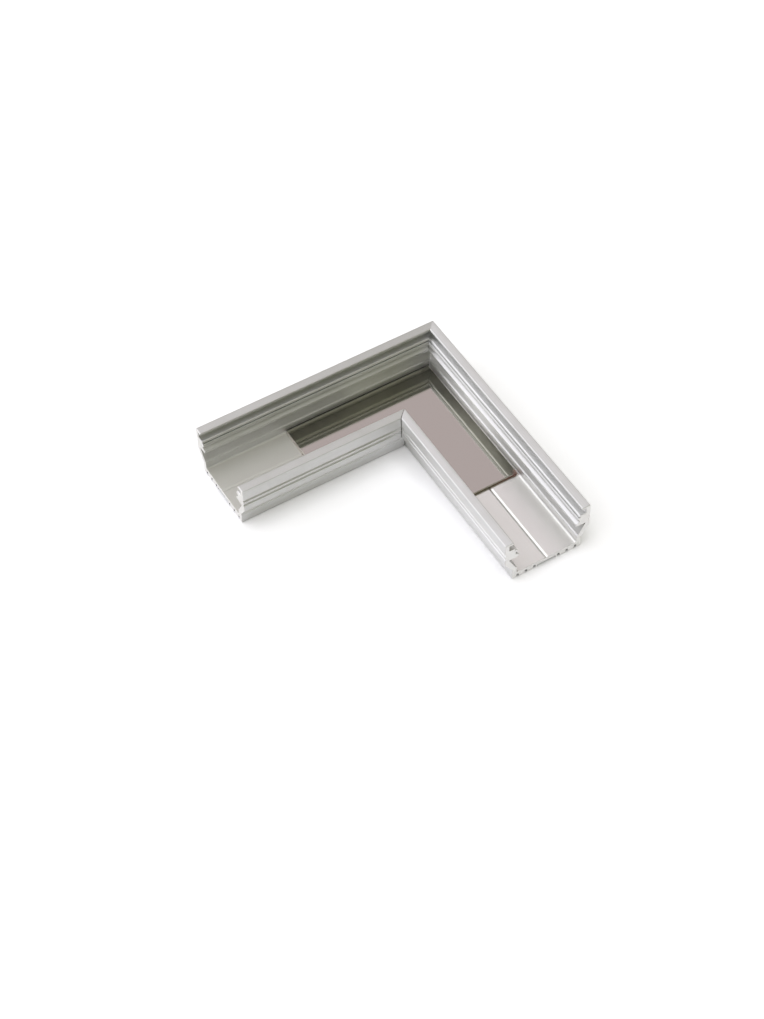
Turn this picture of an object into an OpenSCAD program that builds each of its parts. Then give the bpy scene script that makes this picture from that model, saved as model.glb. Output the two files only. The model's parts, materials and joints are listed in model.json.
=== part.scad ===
// Right-angle corner for a surface-mounted light strip channel.
// Two mitred lengths of one extruded channel meet at the corner, and a flat
// L-shaped plate lies on both channel floors and bridges the mitre.
// Millimetres. The origin is on the plane that the feet stand on, where the
// centre lines of the two legs cross. Z is up. The left leg runs towards -X
// and the right leg towards -Y.

/* [Legs] */
// Length of the left leg along its outer wall
left_leg_len = 65.5; // [55:0.5:200]
// Length of the right leg along its outer wall
right_leg_len = 68; // [55:0.5:200]
// Gap left between the two sawn faces of the mitre
mitre_gap = 0.05; // [0.05:0.05:0.3]

/* [Profile] */
// Width over the outer faces
profile_w = 23; // [21:0.5:30]
// Height from the feet to the rim
profile_h = 13.4; // [12.4:0.1:20]
// Width of the flat rim on top of each wall
rim_w = 2.3; // [1.9:0.1:2.6]
// Wall left behind the cover slot and behind the undercut
web_t = 1.1; // [0.95:0.05:1.3]

/* [Cover slot and ridges] */
// Thickness of the lip over the cover slot
lip_t = 0.55; // [0.4:0.05:0.8]
// Height of the cover slot
slot_h = 1.7; // [1.4:0.05:1.8]
// Reach of the cover slot's floor from the outer face
slot_reach = 2.85; // [2.6:0.05:2.9]
// Reach of the top ridge from the outer face
nose_reach = 3.1; // [2.95:0.05:3.15]
// Height of the top ridge
nose_t = 0.5; // [0.4:0.05:0.6]
// Height of the narrow groove under the top ridge
narrow_groove_h = 0.25; // [0.2:0.05:0.3]
// Bed of the narrow groove, from the outer face
narrow_bed = 2.6; // [2.2:0.05:2.7]
// Reach of the middle ridge's upper edge from the outer face
mid_start = 3.15; // [2.9:0.05:3.2]
// Reach of the middle ridge's tip from the outer face
mid_reach = 3.45; // [3.3:0.05:3.6]
// Height over which the middle ridge slopes down to its tip
mid_drop = 0.45; // [0.3:0.05:0.5]
// Height of the tip itself
mid_t = 0.25; // [0.2:0.05:0.35]
// Height of the wide groove under the middle ridge
wide_groove_h = 0.7; // [0.5:0.05:0.8]
// Bed of the wide groove, from the outer face
wide_bed = 2.9; // [2.6:0.05:3]
// Reach of the lower ridge's tip from the outer face
low_reach = 3.75; // [3.6:0.05:3.8]
// Height over which the lower ridge slopes down to its tip
low_drop = 0.6; // [0.4:0.05:0.7]
// Height of the lower ridge's front under the tip
low_t = 0.7; // [0.5:0.05:0.9]
// How far that front leans back towards its lower edge
low_lean = 0.1; // [0.05:0.05:0.2]
// Slant of the lower ridge's underside, down to the undercut
undercut_drop = 0.1; // [0.05:0.05:0.3]

/* [Outer face] */
// Depth of the two clip grooves
clip_groove_d = 0.45; // [0.3:0.05:0.6]
// Height of each clip groove at its mouth
clip_groove_h = 0.7; // [0.5:0.05:0.9]
// Distance of the upper clip groove below the rim
clip_groove_drop = 3.55; // [3:0.05:3.7]
// Distance between the two clip grooves
clip_groove_pitch = 1.35; // [1.1:0.05:1.6]
// Distance of the shoulder below the rim, where the outer slope starts
shoulder_drop = 6.9; // [6.4:0.1:7.2]
// Inset of the feet from the outer faces
foot_inset = 2.1; // [1.6:0.05:2.4]
// Height of the feet up to the small notch above them
foot_h = 2.7; // [2.2:0.1:3]
// Depth of the notch above each foot
notch_d = 0.25; // [0.15:0.05:0.4]
// Height of that notch
notch_h = 0.9; // [0.6:0.1:1]
// How far the lower end of the outer slope stands out beyond the foot
slope_overhang = 0.2; // [0.1:0.05:0.3]

/* [Floor] */
// Height of the floor's top above the feet
floor_z = 1.8; // [1.6:0.05:2.2]
// Height of the side steps above the floor
step_h = 2.15; // [1.9:0.05:2.3]
// Distance of the side steps from the outer faces
step_inset = 3.3; // [3.1:0.05:3.45]
// Width of the sloping ledge on top of each step
ledge_w = 0.35; // [0.25:0.05:0.5]
// Rise of that ledge
ledge_rise = 0.2; // [0.1:0.05:0.4]
// Width of the small slope at the foot of each side step
foot_slope_w = 0.4; // [0.2:0.05:0.5]
// Height of that slope
foot_slope_h = 0.3; // [0.1:0.05:0.4]
// Width of the centre line groove in the floor
line_w = 0.9; // [0.6:0.1:1.2]
// Depth of the centre line groove
line_d = 0.2; // [0.1:0.05:0.35]

/* [Underside] */
// Depth of the recess along the middle
recess_d = 0.7; // [0.4:0.05:0.8]
// Distance of the recess from the outer faces
recess_inset = 9; // [8.8:0.1:9.6]
// Depth of the narrow slots beside the recess
under_slot_d = 1; // [0.6:0.05:1.1]
// Width of each narrow slot
under_slot_w = 0.6; // [0.4:0.05:0.7]
// Distance of the first narrow slot from the outer faces
under_slot_first = 3.6; // [3.4:0.05:3.7]
// Distance from one narrow slot to the next
under_slot_pitch = 2.3; // [2:0.05:2.3]
// Bevel under the outside of each foot
foot_bevel = 0.2; // [0.1:0.05:0.4]

/* [Corner plate] */
// Length of each arm of the plate from its outer corner
plate_arm = 40; // [25:1:48]
// Thickness of the plate
plate_t = 0.8; // [0.5:0.1:1.5]
// Clearance between the plate and the slopes at the feet of the side steps
plate_gap = 0.1; // [0.1:0.05:0.3]

/* [Hidden] */
half_w = profile_w / 2;
under_slot_count = 3;

// levels on the inner face, from the rim down
lip_z = profile_h - lip_t;
slot_z = lip_z - slot_h;
nose_z = slot_z - nose_t;
mid_z = nose_z - narrow_groove_h;
mid_tip_z = mid_z - mid_drop;
wide_groove_z = mid_tip_z - mid_t;
low_z = wide_groove_z - wide_groove_h;
low_tip_z = low_z - low_drop;
under_z = low_tip_z - low_t;
apex_z = under_z - undercut_drop;

// levels on the outer face
upper_clip_z = profile_h - clip_groove_drop;
lower_clip_z = upper_clip_z - clip_groove_pitch;
shoulder_z = profile_h - shoulder_drop;
slope_end_z = foot_h + notch_h;
slope_end_inset = foot_inset - slope_overhang;

step_top_z = floor_z + step_h;
ledge_top_z = step_top_z + ledge_rise;
plate_inset = step_inset + foot_slope_w + plate_gap;
plate_w = profile_w - 2 * plate_inset;
cutter = 2 * profile_w;

aluminium = [0.78, 0.78, 0.77];
steel = [0.66, 0.63, 0.60];

// each point of the section is [distance from the outer face, height]

// narrow slots of the underside, from the middle outwards
function under_slots() = [
    for (i = [under_slot_count - 1 : -1 : 0])
        let (s = under_slot_first + i * under_slot_pitch)
        each [
            [s + under_slot_w / 2, 0],
            [s + under_slot_w / 2, under_slot_d],
            [s - under_slot_w / 2, under_slot_d],
            [s - under_slot_w / 2, 0]
        ]
];

// one clip groove in the outer face, from its lower edge up
function clip_groove(z) = [
    [0, z - clip_groove_h / 2],
    [clip_groove_d, z],
    [0, z + clip_groove_h / 2]
];

// underside and outer face, from the middle of the underside to the rim
function outside() = concat(
    [[recess_inset, recess_d], [recess_inset, 0]],
    under_slots(),
    [
        [foot_inset + foot_bevel, 0],
        [foot_inset, foot_bevel],
        [foot_inset, foot_h],
        [foot_inset + notch_d, foot_h + notch_h / 2],
        [slope_end_inset, slope_end_z],
        [0, shoulder_z]
    ],
    clip_groove(lower_clip_z),
    clip_groove(upper_clip_z),
    [[0, profile_h]]
);

// rim, cover slot, ridges, undercut and floor, from the rim to the middle
function inside() = [
    [rim_w, profile_h],
    [rim_w, lip_z],
    [web_t, lip_z],
    [web_t, slot_z],
    [slot_reach, slot_z],
    [nose_reach, nose_z],
    [narrow_bed, nose_z],
    [narrow_bed, mid_z],
    [mid_start, mid_z],
    [mid_reach, mid_tip_z],
    [mid_reach, wide_groove_z],
    [wide_bed, wide_groove_z],
    [wide_bed, low_z],
    [low_reach, low_tip_z],
    [low_reach - low_lean, under_z],
    [web_t, apex_z],
    [step_inset - ledge_w, ledge_top_z],
    [step_inset, step_top_z],
    [step_inset, floor_z + foot_slope_h],
    [step_inset + foot_slope_w, floor_z],
    [half_w - line_w / 2, floor_z]
];

function half_section() = concat(outside(), inside());

function mirrored(pts) = [
    for (i = [len(pts) - 1 : -1 : 0]) [profile_w - pts[i][0], pts[i][1]]
];

module section() {
    polygon(concat(
        half_section(),
        [[half_w, floor_z - line_d]],
        mirrored(half_section())
    ));
}

// a length of channel that runs towards -X, with its inner end sawn at 45 degrees
module mitred_channel(leg_len) {
    difference() {
        translate([half_w, half_w, 0])
            rotate([90, 0, -90])
                linear_extrude(height = leg_len)
                    section();
        rotate([0, 0, 45])
            translate([-cutter / 2, mitre_gap / 2 - cutter, -1])
                cube([cutter, cutter, profile_h + 2]);
    }
}

module left_profile() {
    color(aluminium)
        mitred_channel(left_leg_len);
}

module right_profile() {
    color(aluminium)
        mirror([1, -1, 0])
            mitred_channel(right_leg_len);
}

module corner_plate() {
    outer = half_w - plate_inset;
    inner = outer - plate_w;
    end = outer - plate_arm;
    color(steel)
        translate([0, 0, floor_z])
            linear_extrude(height = plate_t)
                polygon([
                    [outer, outer],
                    [end, outer],
                    [end, inner],
                    [inner, inner],
                    [inner, end],
                    [outer, end]
                ]);
}

left_profile();
right_profile();
corner_plate();
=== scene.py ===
"""Right-angle corner of a surface-mounted light strip channel, dressed and staged.

Two mitred aluminium profiles and the polished steel plate that bridges them come
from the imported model. This script gives them their edges and finishes, and sets
the floor, the light and the camera. Lengths are metres in the model's own frame:
the centre lines of the two legs cross at the origin, the left leg runs towards -X
and the right leg towards -Y.
"""

import json
import math

import bmesh
import bpy
from bpy.props import FloatProperty, FloatVectorProperty, PointerProperty
from mathutils import Matrix, Vector

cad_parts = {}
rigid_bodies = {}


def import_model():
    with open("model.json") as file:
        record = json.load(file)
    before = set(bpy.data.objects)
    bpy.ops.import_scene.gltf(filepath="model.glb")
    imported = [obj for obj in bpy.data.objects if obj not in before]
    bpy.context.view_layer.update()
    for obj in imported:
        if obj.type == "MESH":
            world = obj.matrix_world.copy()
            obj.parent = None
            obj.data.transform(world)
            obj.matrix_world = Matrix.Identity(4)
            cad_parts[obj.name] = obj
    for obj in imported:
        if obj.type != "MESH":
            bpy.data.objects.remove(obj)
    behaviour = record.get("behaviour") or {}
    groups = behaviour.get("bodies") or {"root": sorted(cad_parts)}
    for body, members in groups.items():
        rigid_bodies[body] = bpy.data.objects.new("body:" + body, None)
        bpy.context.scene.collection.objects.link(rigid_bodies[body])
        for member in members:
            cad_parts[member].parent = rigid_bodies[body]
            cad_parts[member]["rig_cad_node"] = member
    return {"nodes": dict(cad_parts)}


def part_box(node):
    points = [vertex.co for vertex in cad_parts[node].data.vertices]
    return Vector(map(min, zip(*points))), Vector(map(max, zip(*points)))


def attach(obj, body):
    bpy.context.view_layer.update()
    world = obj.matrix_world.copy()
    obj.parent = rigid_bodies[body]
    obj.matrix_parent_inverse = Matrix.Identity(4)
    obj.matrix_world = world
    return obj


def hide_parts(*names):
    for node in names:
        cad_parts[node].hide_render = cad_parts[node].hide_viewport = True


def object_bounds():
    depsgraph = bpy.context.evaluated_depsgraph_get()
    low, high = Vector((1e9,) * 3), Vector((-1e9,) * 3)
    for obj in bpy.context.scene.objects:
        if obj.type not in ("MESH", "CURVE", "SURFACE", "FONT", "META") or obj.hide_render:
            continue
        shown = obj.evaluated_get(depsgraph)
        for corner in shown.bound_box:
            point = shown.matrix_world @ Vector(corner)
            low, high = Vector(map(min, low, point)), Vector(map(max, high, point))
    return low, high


bl_info = {
    "name": "Light channel corner",
    "version": (1, 0, 0),
    "blender": (4, 5, 0),
    "location": "3D View > Sidebar > Channel corner",
    "description": "Finishes a mitred light channel corner and sets up its studio",
    "category": "Object",
}

MM = 0.001

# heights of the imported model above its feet: the tops of the channel's floor and of the plate,
# the floor of the cover slot, and the two ends of the slope on the outer face
FLOOR_TOP = 1.8 * MM
PLATE_TOP = 2.6 * MM
SLOT_FLOOR = 11.15 * MM
SLOPE_ENDS = (3.6 * MM, 6.5 * MM)
# reach of the cover slot's floor from the outer face
SLOT_REACH = 2.85 * MM
# two heights this close are one
NEAR = 0.01 * MM

# distance that a sawn face is set back along its leg at the mitre's outer corner, and how much
# more it is at the inner corner
MITRE_SETBACK = 0.005 * MM
MITRE_TAPER = 0.12 * MM
# vertices this close to the mitre's plane belong to the sawn faces
MITRE_REACH = 0.2 * MM

# direction of the lines on the leg along X and on the leg along Y, a hair off the leg itself,
# so that the sawn faces have a direction across the lines too
LINE_DIRECTION = {"X": (1, 0.03, 0.05), "Y": (0.03, 1, 0.05)}
# share of the floor's painted light, a paler colour, in the channel's floor, and its roughness:
# the floor is painted paler and is duller than the walls in the left leg, and is painted a little
# paler and is smoother in the right leg
FLOOR_SHARE = {"X": 1, "Y": 0.8}
FLOOR_ROUGHNESS = {"X": 0.52, "Y": 0.28}
# strength of the painted shade in the dark line behind the plate's back edge, which only the left
# leg shows
PLATE_LINE_SHADE = {"X": 0.95, "Y": 0}

# azimuth, from +X towards +Y, and elevation, in degrees, of the soft light and of the panel on
# the ceiling
LIGHT_AT = (152, 53)
CEILING_AT = (61, 52)
# side of the square floor of the studio, in metres
STUDIO_SIZE = 6

# focal length and sensor width in mm, the point that the camera looks at, and its distance
CAMERA_LENS = 74.15
CAMERA_SENSOR = 36
CAMERA_TARGET = Vector((-24.17, -23.32, 0)) * MM
CAMERA_DISTANCE = 0.4929
# azimuth from -Y, elevation and roll of the camera, in degrees
CAMERA_ANGLES = (-29.18, 51.48, -2.15)

# sockets of a Mix node: its factor, the numbers or colours that it mixes, and what it gives
FACTOR = 0
NUMBER_A, NUMBER_B, NUMBER_OUT = 2, 3, 0
COLOUR_A, COLOUR_B, COLOUR_OUT = 6, 7, 2

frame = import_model()
cad_low, cad_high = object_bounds()


def linear(hex_colour):
    """Turn an sRGB hex colour into the linear values that shader sockets take."""
    channels = [int(hex_colour[i : i + 2], 16) / 255 for i in (1, 3, 5)]
    return [c / 12.92 if c <= 0.04045 else ((c + 0.055) / 1.055) ** 2.4 for c in channels]


def rgba(colour):
    """Add the alpha that a colour socket has to a colour property."""
    return (*colour, 1.0)


def add_node(tree, kind, settings=None, links=None):
    """Add a node, set its attributes and inputs, and feed its linked inputs.

    An input goes by its name, or by its number where a node has several of one name.
    """
    node = tree.nodes.new(kind)
    for key, value in (settings or {}).items():
        if isinstance(key, str) and hasattr(node, key):
            setattr(node, key, value)
        else:
            node.inputs[key].default_value = value
    for key, source in (links or {}).items():
        tree.links.new(source, node.inputs[key])
    return node


def empty_material(name):
    """Make a node material with nothing in it yet."""
    material = bpy.data.materials.new(name)
    material.use_nodes = True
    material.node_tree.nodes.clear()
    return material


class ProfileSettings(bpy.types.PropertyGroup):
    """Edges and finish of the two aluminium profiles."""

    edge_radius: FloatProperty(
        name="Edge radius",
        description="Rounding that the die leaves on the profile's fine edges",
        default=0.09 * MM,
        min=0.02 * MM,
        max=0.1 * MM,
        precision=5,
        unit="LENGTH",
    )
    rim_radius: FloatProperty(
        name="Rim edge radius",
        description="Rounding at the rims, the cover slot's floor and the outer slope",
        default=0.25 * MM,
        min=0.02 * MM,
        max=0.25 * MM,
        precision=5,
        unit="LENGTH",
    )
    surface: FloatVectorProperty(
        name="Surface",
        description="Colour of the anodised surface",
        default=linear("#E6E6E5"),
        subtype="COLOR",
        min=0,
        max=1,
    )
    streak: FloatVectorProperty(
        name="Streak",
        description="Colour of the duller lines that the die draws along the profile",
        default=linear("#DFDFDD"),
        subtype="COLOR",
        min=0,
        max=1,
    )
    # painted light: a paler colour on the channel's floor stands in for the light that reaches it
    painted_floor_light: FloatVectorProperty(
        name="Channel floor",
        description="Colour of the channel's floor, which the die leaves paler than the walls",
        default=linear("#F3F2EC"),
        subtype="COLOR",
        min=0,
        max=1,
    )
    sawn: FloatVectorProperty(
        name="Sawn end",
        description="Colour of the sawn faces",
        default=linear("#FAF9F7"),
        subtype="COLOR",
        min=0,
        max=1,
    )
    # painted shade colour, which darkens the narrow grooves and the line behind the plate's back
    # edge
    painted_shade_colour: FloatVectorProperty(
        name="Soil",
        description="Colour of the dust and oxide in the narrow grooves",
        default=linear("#5F5D54"),
        subtype="COLOR",
        min=0,
        max=1,
    )
    scatter: FloatProperty(
        name="Scatter across",
        description="How much more the lines scatter light across the profile than along it",
        default=0.85,
        min=0,
        max=1,
    )
    line_pitch: FloatProperty(
        name="Die line spacing",
        description="Typical distance between the lines along the profile",
        default=0.35 * MM,
        min=0.1 * MM,
        max=2 * MM,
        precision=5,
        unit="LENGTH",
    )


class PlateSettings(bpy.types.PropertyGroup):
    """Edges and finish of the polished plate."""

    edge_radius: FloatProperty(
        name="Edge radius",
        description="Rounding of the plate's sheared edges",
        default=0.08 * MM,
        min=0.02 * MM,
        max=0.2 * MM,
        precision=5,
        unit="LENGTH",
    )
    steel: FloatVectorProperty(
        name="Steel",
        description="Colour of the polished steel",
        default=linear("#C9C8BD"),
        subtype="COLOR",
        min=0,
        max=1,
    )
    sheared: FloatVectorProperty(
        name="Sheared edge",
        description="Colour of the plate's cut edges",
        default=linear("#C4BDB5"),
        subtype="COLOR",
        min=0,
        max=1,
    )
    # brown of the right arm's cut face below its upper edge and of the blotch at its outer corner,
    # and the redder brown towards that corner
    end_brown: FloatVectorProperty(
        name="Stain",
        description="Colour of the tarnish at the end of the right arm",
        default=linear("#857A66"),
        subtype="COLOR",
        min=0,
        max=1,
    )
    end_red_brown: FloatVectorProperty(
        name="Red stain",
        description="Colour of that tarnish towards its outer corner",
        default=linear("#94695C"),
        subtype="COLOR",
        min=0,
        max=1,
    )


class StudioSettings(bpy.types.PropertyGroup):
    """Floor and the soft light of the studio."""

    floor: FloatVectorProperty(
        name="Floor",
        description="Colour of the floor",
        default=linear("#F5F5F6"),
        subtype="COLOR",
        min=0,
        max=1,
    )
    floor_lift: FloatProperty(
        name="Floor lift",
        description="How far the floor is lifted towards white where it is seen",
        default=0.33,
        min=0,
        max=1,
    )
    brightness: FloatProperty(
        name="Brightness",
        description="Strength of the light at its brightest, behind the object on the left",
        default=1.9,
        min=0.1,
        max=10,
    )
    bright_side: FloatVectorProperty(
        name="Bright side",
        description="Colour of the studio on its bright side",
        default=linear("#FAF9FF"),
        subtype="COLOR",
        min=0,
        max=1,
    )
    dark_side: FloatVectorProperty(
        name="Dark side",
        description="Colour of the studio on its dark side",
        default=linear("#5E5E49"),
        subtype="COLOR",
        min=0,
        max=1,
    )
    ceiling: FloatVectorProperty(
        name="Ceiling",
        description="Colour of the ceiling panel that the polished plate mirrors",
        default=linear("#A49AA0"),
        subtype="COLOR",
        min=0,
        max=1,
    )


def extruded_aluminium(finish, name, run):
    """Extruded aluminium, satin anodised: a soft grey gloss with lines along the run.

    The die draws the lines. The sawn ends are paler and rougher, with marks of the saw.
    run is the axis that the leg lies along.
    """
    material = empty_material(name)
    tree = material.node_tree
    place = add_node(tree, "ShaderNodeTexCoord")
    # the run becomes X on both legs
    turned = add_node(
        tree,
        "ShaderNodeMapping",
        {"Rotation": (0, 0, 0 if run == "X" else math.radians(90))},
        {"Vector": place.outputs["Object"]},
    )
    # the die's lines, which are finer than this and are drawn as coarse as they need to show;
    # they are 300 times as long as they are wide
    stretched = add_node(
        tree,
        "ShaderNodeMapping",
        {"Scale": (1 / (300 * finish.line_pitch), 1 / finish.line_pitch, 1 / finish.line_pitch)},
        {"Vector": turned.outputs["Vector"]},
    )
    lines = add_node(
        tree,
        "ShaderNodeTexNoise",
        {"Scale": 1, "Detail": 3, "Roughness": 0.6},
        {"Vector": stretched.outputs["Vector"]},
    )
    # grain of the etch, drawn at 0.25 mm, much coarser than it is, so that it shows
    grain = add_node(
        tree,
        "ShaderNodeTexNoise",
        {"Scale": 1 / (0.25 * MM), "Detail": 2},
        {"Vector": turned.outputs["Vector"]},
    )
    # saw marks 0.3 mm apart, slanted across the cut
    saw_frame = add_node(
        tree,
        "ShaderNodeMapping",
        {
            "Rotation": (math.radians(35), 0, 0),
            "Scale": (1, 1 / (0.3 * MM), 1 / (4 * MM)),
        },
        {"Vector": turned.outputs["Vector"]},
    )
    saw_marks = add_node(
        tree,
        "ShaderNodeTexNoise",
        {"Scale": 1, "Detail": 2},
        {"Vector": saw_frame.outputs["Vector"]},
    )
    # the sawn faces look along the run: the square end, and the mitre at 45 degrees
    facing = add_node(tree, "ShaderNodeSeparateXYZ", None, {"Vector": place.outputs["Normal"]})
    along = add_node(tree, "ShaderNodeMath", {"operation": "ABSOLUTE"}, {0: facing.outputs[run]})
    sawn = add_node(
        tree,
        "ShaderNodeMapRange",
        {"From Min": 0.5, "From Max": 0.65},
        {"Value": along.outputs["Value"]},
    )
    # soft patches of the anodising, a few millimetres across
    patches = add_node(
        tree,
        "ShaderNodeTexNoise",
        {"Scale": 1 / (5 * MM), "Detail": 2},
        {"Vector": turned.outputs["Vector"]},
    )
    unevenness = add_node(
        tree,
        "ShaderNodeMath",
        {"operation": "ADD"},
        {0: lines.outputs["Fac"], 1: patches.outputs["Fac"]},
    )
    line_strength = add_node(
        tree,
        "ShaderNodeMapRange",
        {"From Min": 0.75, "From Max": 1.25},
        {"Value": unevenness.outputs["Value"]},
    )
    drawn_colour = add_node(
        tree,
        "ShaderNodeMix",
        {"data_type": "RGBA", COLOUR_A: rgba(finish.surface), COLOUR_B: rgba(finish.streak)},
        {FACTOR: line_strength.outputs["Result"]},
    )
    # the floor's painted light, a paler colour, and its roughness fade out on the small slopes at
    # its sides, which rise
    # 0.3 mm above it
    spot = add_node(tree, "ShaderNodeSeparateXYZ", None, {"Vector": place.outputs["Object"]})
    on_floor = add_node(
        tree,
        "ShaderNodeMapRange",
        {
            "From Min": FLOOR_TOP + 0.3 * MM,
            "From Max": FLOOR_TOP + 0.1 * MM,
            "To Max": FLOOR_SHARE[run],
        },
        {"Value": spot.outputs["Z"]},
    )
    facing_up = add_node(
        tree,
        "ShaderNodeMapRange",
        {"From Min": 0.6, "From Max": 0.9},
        {"Value": facing.outputs["Z"]},
    )
    floor_share = add_node(
        tree,
        "ShaderNodeMath",
        {"operation": "MULTIPLY"},
        {0: on_floor.outputs["Result"], 1: facing_up.outputs["Result"]},
    )
    # painted light: the channel's floor gets its paler colour
    floored_colour = add_node(
        tree,
        "ShaderNodeMix",
        {"data_type": "RGBA", COLOUR_B: rgba(finish.painted_floor_light)},
        {FACTOR: floor_share.outputs["Value"], COLOUR_A: drawn_colour.outputs[COLOUR_OUT]},
    )
    clean_colour = add_node(
        tree,
        "ShaderNodeMix",
        {"data_type": "RGBA", COLOUR_B: rgba(finish.sawn)},
        {FACTOR: sawn.outputs["Result"], COLOUR_A: floored_colour.outputs[COLOUR_OUT]},
    )
    # painted shade: grooves and corners that are under half a millimetre wide, which ambient
    # occlusion finds closed in, are darkened towards the painted shade colour
    openness = add_node(tree, "ShaderNodeAmbientOcclusion", {"samples": 8, "Distance": 0.5 * MM})
    groove_shade = add_node(
        tree,
        "ShaderNodeMapRange",
        {"From Min": 0.5, "From Max": 0.2, "To Max": 0.9},
        {"Value": openness.outputs["AO"]},
    )
    # painted shade: the dark line behind the plate's back edge, where ambient occlusion finds a
    # crevice, lies below the plate's top
    beside_plate = add_node(
        tree, "ShaderNodeAmbientOcclusion", {"samples": 8, "Distance": 1.2 * MM}
    )
    crevice = add_node(
        tree,
        "ShaderNodeMapRange",
        {"From Min": 0.5, "From Max": 0.32, "To Max": PLATE_LINE_SHADE[run]},
        {"Value": beside_plate.outputs["AO"]},
    )
    low_down = add_node(
        tree,
        "ShaderNodeMapRange",
        {"From Min": PLATE_TOP + 0.15 * MM, "From Max": PLATE_TOP},
        {"Value": spot.outputs["Z"]},
    )
    # painted shade behind the plate's back edge
    painted_shade = add_node(
        tree,
        "ShaderNodeMath",
        {"operation": "MULTIPLY"},
        {0: crevice.outputs["Result"], 1: low_down.outputs["Result"]},
    )
    # painted shade of the grooves and of the line behind the plate, whichever is stronger
    all_painted_shade = add_node(
        tree,
        "ShaderNodeMath",
        {"operation": "MAXIMUM"},
        {0: groove_shade.outputs["Result"], 1: painted_shade.outputs["Value"]},
    )
    colour = add_node(
        tree,
        "ShaderNodeMix",
        {"data_type": "RGBA", COLOUR_B: rgba(finish.painted_shade_colour)},
        {FACTOR: all_painted_shade.outputs["Value"], COLOUR_A: clean_colour.outputs[COLOUR_OUT]},
    )
    drawn_roughness = add_node(
        tree,
        "ShaderNodeMapRange",
        {"To Min": 0.37, "To Max": 0.43},
        {"Value": lines.outputs["Fac"]},
    )
    floored_roughness = add_node(
        tree,
        "ShaderNodeMix",
        {"data_type": "FLOAT", NUMBER_B: FLOOR_ROUGHNESS[run]},
        {FACTOR: floor_share.outputs["Value"], NUMBER_A: drawn_roughness.outputs["Result"]},
    )
    roughness = add_node(
        tree,
        "ShaderNodeMix",
        {"data_type": "FLOAT", NUMBER_B: 0.55},
        {FACTOR: sawn.outputs["Result"], NUMBER_A: floored_roughness.outputs[NUMBER_OUT]},
    )
    height = add_node(
        tree,
        "ShaderNodeMix",
        {"data_type": "FLOAT"},
        {
            FACTOR: sawn.outputs["Result"],
            NUMBER_A: lines.outputs["Fac"],
            NUMBER_B: saw_marks.outputs["Fac"],
        },
    )
    line_relief = add_node(
        tree,
        "ShaderNodeBump",
        {"Strength": 0.12, "Distance": 0.03 * MM},
        {"Height": height.outputs[NUMBER_OUT]},
    )
    relief = add_node(
        tree,
        "ShaderNodeBump",
        {"Strength": 0.3, "Distance": 0.01 * MM},
        {"Height": grain.outputs["Fac"], "Normal": line_relief.outputs["Normal"]},
    )
    # the lines scatter light across themselves
    across = add_node(
        tree,
        "ShaderNodeVectorMath",
        {"operation": "CROSS_PRODUCT", 1: LINE_DIRECTION[run]},
        {0: place.outputs["Normal"]},
    )
    shader = add_node(
        tree,
        "ShaderNodeBsdfPrincipled",
        {"Metallic": 1, "Anisotropic": finish.scatter},
        {
            "Base Color": colour.outputs[COLOUR_OUT],
            "Roughness": roughness.outputs[NUMBER_OUT],
            "Normal": relief.outputs["Normal"],
            "Tangent": across.outputs["Vector"],
        },
    )
    add_node(tree, "ShaderNodeOutputMaterial", None, {"Surface": shader.outputs["BSDF"]})
    return material


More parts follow.
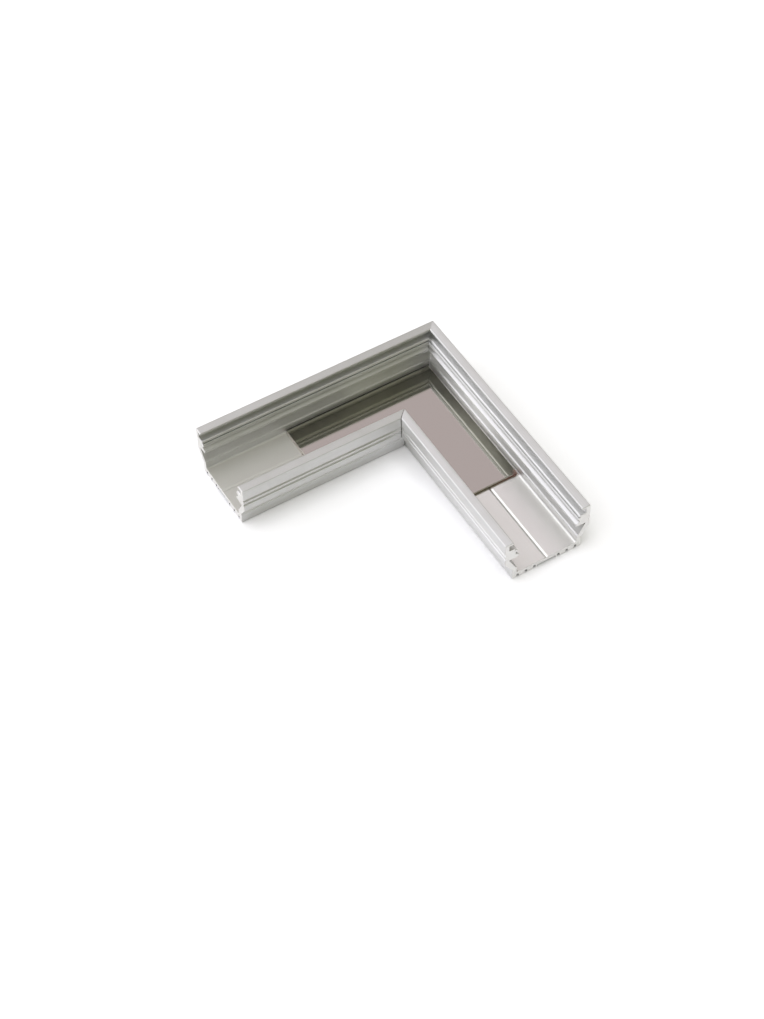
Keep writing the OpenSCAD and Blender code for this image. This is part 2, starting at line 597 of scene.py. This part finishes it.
def polished_stainless(finish):
    """Polished stainless sheet: it mirrors the channel, and its sheared edges are dull.

    The cut face of the right arm's end is brown below its upper edge, redder towards its outer
    corner, with a small blotch at that corner.
    """
    material = empty_material("Polished stainless sheet")
    tree = material.node_tree
    low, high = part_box("corner_plate")
    place = add_node(tree, "ShaderNodeTexCoord")
    facing = add_node(tree, "ShaderNodeSeparateXYZ", None, {"Vector": place.outputs["Normal"]})
    upright = add_node(tree, "ShaderNodeMath", {"operation": "ABSOLUTE"}, {0: facing.outputs["Z"]})
    sheared = add_node(
        tree,
        "ShaderNodeMapRange",
        {"From Min": 0.75, "From Max": 0.35},
        {"Value": upright.outputs["Value"]},
    )
    # slow changes in the polish, a few millimetres across
    clouds = add_node(
        tree,
        "ShaderNodeTexNoise",
        {"Scale": 1 / (6 * MM), "Detail": 2},
        {"Vector": place.outputs["Object"]},
    )
    # mottling that makes the blotch's edge ragged, 0.5 mm across
    mottling = add_node(
        tree,
        "ShaderNodeTexNoise",
        {"Scale": 1 / (0.5 * MM), "Detail": 2},
        {"Vector": place.outputs["Object"]},
    )
    # a ragged blotch about half a millimetre across at the outer corner of the right arm's end
    from_corner = add_node(
        tree,
        "ShaderNodeVectorMath",
        {"operation": "DISTANCE", 1: (high.x, low.y, high.z)},
        {0: place.outputs["Object"]},
    )
    ragged = add_node(
        tree,
        "ShaderNodeMath",
        {"operation": "MULTIPLY_ADD", 1: -1.6 * MM},
        {0: mottling.outputs["Fac"], 2: from_corner.outputs["Value"]},
    )
    blotch = add_node(
        tree,
        "ShaderNodeMapRange",
        {"From Min": 0.7 * MM, "From Max": 0.1 * MM, "To Max": 0.7},
        {"Value": ragged.outputs["Value"]},
    )
    spot = add_node(tree, "ShaderNodeSeparateXYZ", None, {"Vector": place.outputs["Object"]})
    # the cut face of the right arm's end, below its bright upper edge
    at_end = add_node(
        tree,
        "ShaderNodeMapRange",
        {"From Min": low.y + 0.1 * MM, "From Max": low.y + 0.03 * MM},
        {"Value": spot.outputs["Y"]},
    )
    below_edge = add_node(
        tree,
        "ShaderNodeMapRange",
        {"From Min": high.z - 0.42 * MM, "From Max": high.z - 0.5 * MM},
        {"Value": spot.outputs["Z"]},
    )
    end = add_node(
        tree,
        "ShaderNodeMath",
        {"operation": "MULTIPLY"},
        {0: at_end.outputs["Result"], 1: below_edge.outputs["Result"]},
    )
    # brown of the blotch and of the right arm's cut face, whichever is stronger
    darkening = add_node(
        tree,
        "ShaderNodeMath",
        {"operation": "MAXIMUM"},
        {0: blotch.outputs["Result"], 1: end.outputs["Value"]},
    )
    polish = add_node(
        tree,
        "ShaderNodeMapRange",
        {"To Min": 0.05, "To Max": 0.09},
        {"Value": clouds.outputs["Fac"]},
    )
    cut_roughness = add_node(
        tree,
        "ShaderNodeMix",
        {"data_type": "FLOAT", NUMBER_B: 0.4},
        {FACTOR: sheared.outputs["Result"], NUMBER_A: polish.outputs["Result"]},
    )
    roughness = add_node(
        tree,
        "ShaderNodeMix",
        {"data_type": "FLOAT", NUMBER_B: 0.6},
        {FACTOR: darkening.outputs["Value"], NUMBER_A: cut_roughness.outputs[NUMBER_OUT]},
    )
    clean_colour = add_node(
        tree,
        "ShaderNodeMix",
        {"data_type": "RGBA", COLOUR_A: rgba(finish.steel), COLOUR_B: rgba(finish.sheared)},
        {FACTOR: sheared.outputs["Result"]},
    )
    # the brown turns redder over the last few millimetres before the outer corner
    redder = add_node(
        tree,
        "ShaderNodeMapRange",
        {"From Min": high.x - 8 * MM, "From Max": high.x - 3 * MM},
        {"Value": spot.outputs["X"]},
    )
    end_brown = add_node(
        tree,
        "ShaderNodeMix",
        {"data_type": "RGBA", COLOUR_A: rgba(finish.end_brown), COLOUR_B: rgba(finish.end_red_brown)},
        {FACTOR: redder.outputs["Result"]},
    )
    colour = add_node(
        tree,
        "ShaderNodeMix",
        {"data_type": "RGBA"},
        {
            FACTOR: darkening.outputs["Value"],
            COLOUR_A: clean_colour.outputs[COLOUR_OUT],
            COLOUR_B: end_brown.outputs[COLOUR_OUT],
        },
    )
    shader = add_node(
        tree,
        "ShaderNodeBsdfPrincipled",
        {"Metallic": 1},
        {"Base Color": colour.outputs[COLOUR_OUT], "Roughness": roughness.outputs[NUMBER_OUT]},
    )
    add_node(tree, "ShaderNodeOutputMaterial", None, {"Surface": shader.outputs["BSDF"]})
    return material


def merged_copy(context, node, name):
    """Copy a node and join its loose triangles into whole faces."""
    bpy.ops.object.select_all(action="DESELECT")
    node.select_set(True)
    context.view_layer.objects.active = node
    bpy.ops.object.duplicate()
    piece = context.object
    piece.name = name
    del piece["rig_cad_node"]
    bpy.ops.mesh.customdata_custom_splitnormals_clear()
    bpy.ops.object.mode_set(mode="EDIT")
    bpy.ops.mesh.select_all(action="SELECT")
    bpy.ops.mesh.remove_doubles(threshold=0.001 * MM)
    bpy.ops.mesh.dissolve_limited(angle_limit=math.radians(0.5))
    bpy.ops.object.mode_set(mode="OBJECT")
    return piece


def in_mitre(vert):
    """Tell whether a vertex lies in the sawn face of the mitre."""
    return abs(vert.co.x - vert.co.y) < MITRE_REACH


def fit_mitre(piece, run):
    """Turn a profile's sawn face until the mitre closes outside and gapes a little inside."""
    width = 2 * cad_high.y
    for vert in piece.data.vertices:
        if not in_mitre(vert):
            continue
        across = vert.co.y if run == "X" else vert.co.x
        gap = MITRE_SETBACK + MITRE_TAPER * (cad_high.y - across) / width
        if run == "X":
            vert.co.x = across - gap
        else:
            vert.co.y = across - gap


def catches_light(edge):
    """Tell whether an edge runs along a rim's top, the slot's floor or the outer slope."""
    first, second = (vert.co for vert in edge.verts)
    run = (first - second).normalized()
    # only level edges along a leg do
    if abs(run.z) > 0.01 or max(abs(run.x), abs(run.y)) < 0.99:
        return False
    on_rim = first.z > cad_high.z - NEAR
    inset = cad_high.y - min(abs(first.x), abs(first.y))
    on_slot_floor = abs(first.z - SLOT_FLOOR) < NEAR and abs(inset - SLOT_REACH) < 0.1 * MM
    on_slope_end = min(abs(first.z - z) for z in SLOPE_ENDS) < NEAR
    return on_rim or on_slot_floor or on_slope_end


def round_edges(piece, radius, rim_radius=None):
    """Round a piece's sharp edges, and those of a profile that catch light by rim_radius.

    The edges of a profile's mitre stay sharp, so that its two halves close.
    """
    widest = max(radius, rim_radius or 0)
    mesh = bmesh.new()
    mesh.from_mesh(piece.data)
    weight = mesh.edges.layers.float.new("bevel_weight_edge")
    for edge in mesh.edges:
        if edge.calc_face_angle(0) < math.radians(20):
            continue
        if rim_radius and all(in_mitre(vert) for vert in edge.verts):
            edge.smooth = False
        elif rim_radius and catches_light(edge):
            edge[weight] = rim_radius / widest
        else:
            edge[weight] = radius / widest
    mesh.to_mesh(piece.data)
    mesh.free()
    bevel = piece.modifiers.new("Round edges", "BEVEL")
    bevel.width = widest
    bevel.segments = 2
    bevel.limit_method = "WEIGHT"
    bpy.ops.object.modifier_apply(modifier=bevel.name)
    bpy.ops.object.shade_smooth()
    shading = piece.modifiers.new("Flat faces stay flat", "WEIGHTED_NORMAL")
    shading.weight = 100
    shading.keep_sharp = True
    bpy.ops.object.modifier_apply(modifier=shading.name)


def white_floor(studio):
    """Pale floor that is seen as white and still takes the object's shadow."""
    material = empty_material("White studio floor")
    tree = material.node_tree
    rays = add_node(tree, "ShaderNodeLightPath")
    # the camera sees all of the lift, and reflections see a quarter of it
    reflected = add_node(
        tree,
        "ShaderNodeMath",
        {"operation": "MAXIMUM"},
        {0: rays.outputs["Is Glossy Ray"], 1: rays.outputs["Is Transmission Ray"]},
    )
    seen = add_node(
        tree,
        "ShaderNodeMath",
        {"operation": "MULTIPLY_ADD", 1: 0.25},
        {0: reflected.outputs["Value"], 2: rays.outputs["Is Camera Ray"]},
    )
    # no lift under the object and in its slots, and less of it close by
    open_floor = add_node(tree, "ShaderNodeAmbientOcclusion", {"samples": 8, "Distance": 6 * MM})
    open_share = add_node(
        tree,
        "ShaderNodeMath",
        {"operation": "MULTIPLY"},
        {0: seen.outputs["Value"], 1: open_floor.outputs["AO"]},
    )
    lift = add_node(
        tree,
        "ShaderNodeMath",
        {"operation": "MULTIPLY", 1: studio.floor_lift},
        {0: open_share.outputs["Value"]},
    )
    paint = add_node(tree, "ShaderNodeBsdfDiffuse", {"Color": rgba(studio.floor)})
    glow = add_node(tree, "ShaderNodeEmission", None, {"Strength": lift.outputs["Value"]})
    both = add_node(
        tree, "ShaderNodeAddShader", None, {0: paint.outputs["BSDF"], 1: glow.outputs["Emission"]}
    )
    add_node(tree, "ShaderNodeOutputMaterial", None, {"Surface": both.outputs["Shader"]})
    return material


def towards(azimuth, elevation):
    """Direction at an azimuth, in degrees from +X to +Y, and an elevation."""
    turn, rise = math.radians(azimuth), math.radians(elevation)
    return Vector(
        (math.cos(turn) * math.cos(rise), math.sin(turn) * math.cos(rise), math.sin(rise))
    )


def studio_sky(studio):
    """Soft light from behind on the left, a dark side in front on the right, a pale horizon."""
    world = bpy.data.worlds.new("Studio sky")
    world.use_nodes = True
    tree = world.node_tree
    tree.nodes.clear()
    place = add_node(tree, "ShaderNodeTexCoord")
    # the light fades out just past a right angle from its middle
    to_light = add_node(
        tree,
        "ShaderNodeVectorMath",
        {"operation": "DOT_PRODUCT", 1: towards(*LIGHT_AT)},
        {0: place.outputs["Generated"]},
    )
    lit = add_node(
        tree,
        "ShaderNodeMapRange",
        {"From Min": -0.07, "From Max": 1},
        {"Value": to_light.outputs["Value"]},
    )
    falloff = add_node(
        tree, "ShaderNodeMath", {"operation": "POWER", 1: 2}, {0: lit.outputs["Result"]}
    )
    walls = add_node(
        tree,
        "ShaderNodeMix",
        {
            "data_type": "RGBA",
            COLOUR_A: rgba(studio.dark_side),
            COLOUR_B: rgba(studio.bright_side),
        },
        {FACTOR: falloff.outputs["Value"]},
    )
    # the panel reaches 6 degrees from its middle and fades out by 11 degrees
    to_ceiling = add_node(
        tree,
        "ShaderNodeVectorMath",
        {"operation": "DOT_PRODUCT", 1: towards(*CEILING_AT)},
        {0: place.outputs["Generated"]},
    )
    overhead = add_node(
        tree,
        "ShaderNodeMapRange",
        {"interpolation_type": "SMOOTHSTEP", "From Min": 0.98, "From Max": 0.995},
        {"Value": to_ceiling.outputs["Value"]},
    )
    room = add_node(
        tree,
        "ShaderNodeMix",
        {"data_type": "RGBA", COLOUR_B: rgba(studio.ceiling)},
        {FACTOR: overhead.outputs["Result"], COLOUR_A: walls.outputs[COLOUR_OUT]},
    )
    # the horizon is white whatever the brightness is, and fades out from 3 to 9 degrees up
    height = add_node(tree, "ShaderNodeSeparateXYZ", None, {"Vector": place.outputs["Generated"]})
    horizon = add_node(
        tree,
        "ShaderNodeMapRange",
        {"interpolation_type": "SMOOTHSTEP", "From Min": 0.16, "From Max": 0.06},
        {"Value": height.outputs["Z"]},
    )
    white = 1 / studio.brightness
    colour = add_node(
        tree,
        "ShaderNodeMix",
        {"data_type": "RGBA", COLOUR_B: (white, white, white, 1)},
        {FACTOR: horizon.outputs["Result"], COLOUR_A: room.outputs[COLOUR_OUT]},
    )
    sky = add_node(
        tree,
        "ShaderNodeBackground",
        {"Strength": studio.brightness},
        {"Color": colour.outputs[COLOUR_OUT]},
    )
    add_node(tree, "ShaderNodeOutputWorld", None, {"Surface": sky.outputs["Background"]})
    return world


class CORNER_OT_finish_profiles(bpy.types.Operator):
    """Round the profiles' edges and give them their anodised finish"""

    bl_idname = "corner.finish_profiles"
    bl_label = "Finish the profiles"

    def execute(self, context):
        finish = context.scene.corner_profiles
        for node_name, run in (("left_profile", "X"), ("right_profile", "Y")):
            piece = merged_copy(context, frame["nodes"][node_name], f"finished_{node_name}")
            fit_mitre(piece, run)
            round_edges(piece, finish.edge_radius, finish.rim_radius)
            piece.material_slots[0].material = extruded_aluminium(
                finish, f"Satin anodised aluminium along {run}", run
            )
            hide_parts(node_name)
            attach(piece, "root")
        return {"FINISHED"}


class CORNER_OT_finish_plate(bpy.types.Operator):
    """Round the plate's edges and give it its polish"""

    bl_idname = "corner.finish_plate"
    bl_label = "Finish the plate"

    def execute(self, context):
        finish = context.scene.corner_plate
        piece = merged_copy(context, frame["nodes"]["corner_plate"], "finished_corner_plate")
        round_edges(piece, finish.edge_radius)
        piece.material_slots[0].material = polished_stainless(finish)
        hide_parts("corner_plate")
        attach(piece, "root")
        return {"FINISHED"}


class CORNER_OT_set_stage(bpy.types.Operator):
    """Make the floor, the light and the camera"""

    bl_idname = "corner.set_stage"
    bl_label = "Set the stage"

    def execute(self, context):
        studio = context.scene.corner_studio
        centre = (cad_low + cad_high) / 2
        bpy.ops.object.select_all(action="DESELECT")
        bpy.ops.mesh.primitive_plane_add(
            size=STUDIO_SIZE, location=(centre.x, centre.y, cad_low.z)
        )
        floor = context.object
        floor.name = "studio_floor"
        floor.data.materials.append(white_floor(studio))

        context.scene.world = studio_sky(studio)
        bpy.ops.object.camera_add()
        camera = context.object
        camera.name = "photo_camera"
        camera.data.sensor_width = CAMERA_SENSOR
        camera.data.lens = CAMERA_LENS
        azimuth, elevation, roll = (math.radians(angle) for angle in CAMERA_ANGLES)
        back = Vector(
            (
                math.sin(azimuth) * math.cos(elevation),
                -math.cos(azimuth) * math.cos(elevation),
                math.sin(elevation),
            )
        )
        right = Vector((0, 0, 1)).cross(back).normalized()
        up = back.cross(right)
        turned_right = right * math.cos(roll) + up * math.sin(roll)
        turned_up = up * math.cos(roll) - right * math.sin(roll)
        rotation = Matrix((turned_right, turned_up, back)).transposed().to_4x4()
        position = CAMERA_TARGET + back * CAMERA_DISTANCE
        camera.matrix_world = Matrix.Translation(position) @ rotation
        context.scene.camera = camera
        context.scene.view_settings.view_transform = "Standard"
        return {"FINISHED"}


class CORNER_PT_panel(bpy.types.Panel):
    """Lists the sizes, the colours and the steps in the sidebar"""

    bl_idname = "CORNER_PT_panel"
    bl_label = "Channel corner"
    bl_space_type = "VIEW_3D"
    bl_region_type = "UI"
    bl_category = "Channel corner"

    def draw(self, context):
        for title, group, operator in (
            ("Profiles", context.scene.corner_profiles, "corner.finish_profiles"),
            ("Plate", context.scene.corner_plate, "corner.finish_plate"),
            ("Studio", context.scene.corner_studio, "corner.set_stage"),
        ):
            box = self.layout.box()
            box.label(text=title)
            for name in group.__annotations__:
                box.prop(group, name)
            box.operator(operator)


CLASSES = (
    ProfileSettings,
    PlateSettings,
    StudioSettings,
    CORNER_OT_finish_profiles,
    CORNER_OT_finish_plate,
    CORNER_OT_set_stage,
    CORNER_PT_panel,
)


def register():
    """Add the settings, the operators and the panel."""
    for cls in CLASSES:
        bpy.utils.register_class(cls)
    bpy.types.Scene.corner_profiles = PointerProperty(type=ProfileSettings)
    bpy.types.Scene.corner_plate = PointerProperty(type=PlateSettings)
    bpy.types.Scene.corner_studio = PointerProperty(type=StudioSettings)


def unregister():
    """Take them away again."""
    del bpy.types.Scene.corner_studio
    del bpy.types.Scene.corner_plate
    del bpy.types.Scene.corner_profiles
    for cls in reversed(CLASSES):
        bpy.utils.unregister_class(cls)


def main():
    """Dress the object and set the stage."""
    register()
    bpy.ops.corner.finish_profiles()
    bpy.ops.corner.finish_plate()
    bpy.ops.corner.set_stage()


if __name__ == "__main__":
    main()
